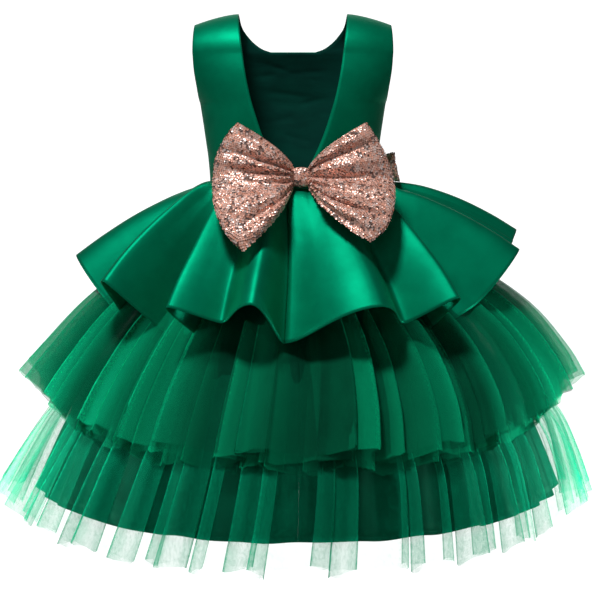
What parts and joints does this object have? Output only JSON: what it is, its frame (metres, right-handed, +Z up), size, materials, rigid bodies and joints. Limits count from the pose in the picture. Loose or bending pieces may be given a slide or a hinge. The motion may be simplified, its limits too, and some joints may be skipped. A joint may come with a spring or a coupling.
{
  "type": "ball gown",
  "caption": "Child's sleeveless ball gown, open V back, folded satin flounce, gathered net tiers over a satin underskirt, and a large sequin bow at the back waist.",
  "frame": {"origin": "midway between the shoulders, level with the top of the straps, in the plane of the shoulder and side seams", "axes": "+Z up, -Y towards the open back with the large bow, +Y the front, +X the wearer's right"},
  "size_m": [0.7095, 0.6102, 0.6185],
  "materials": {
    "satin": "emerald duchess satin, soft sheen",
    "lining": "dark matte lining",
    "net": "fine see-through tulle in emerald",
    "sequin": "overlapping rose-gold sequins"
  },
  "bodies": {
    "root": {"bodice_back_left": "satin", "bodice_back_right": "satin", "bodice_front": "satin", "bodice_front_lining": "lining", "peplum_back_left": "satin", "peplum_back_right": "satin", "peplum_front": "satin", "net_upper_back_left": "net", "net_upper_back_right": "net", "net_upper_front": "net", "underskirt_back_left": "satin", "underskirt_back_right": "satin", "underskirt_front_left": "satin", "underskirt_front_right": "satin", "net_lower_back_left": "net", "net_lower_back_right": "net", "net_lower_front": "net", "bow_loop_left": "sequin", "bow_loop_right": "sequin", "bow_knot": "sequin", "side_bow_loop_back": "sequin", "side_bow_loop_front": "sequin", "side_bow_knot": "sequin"}
  },
  "joints": []
}
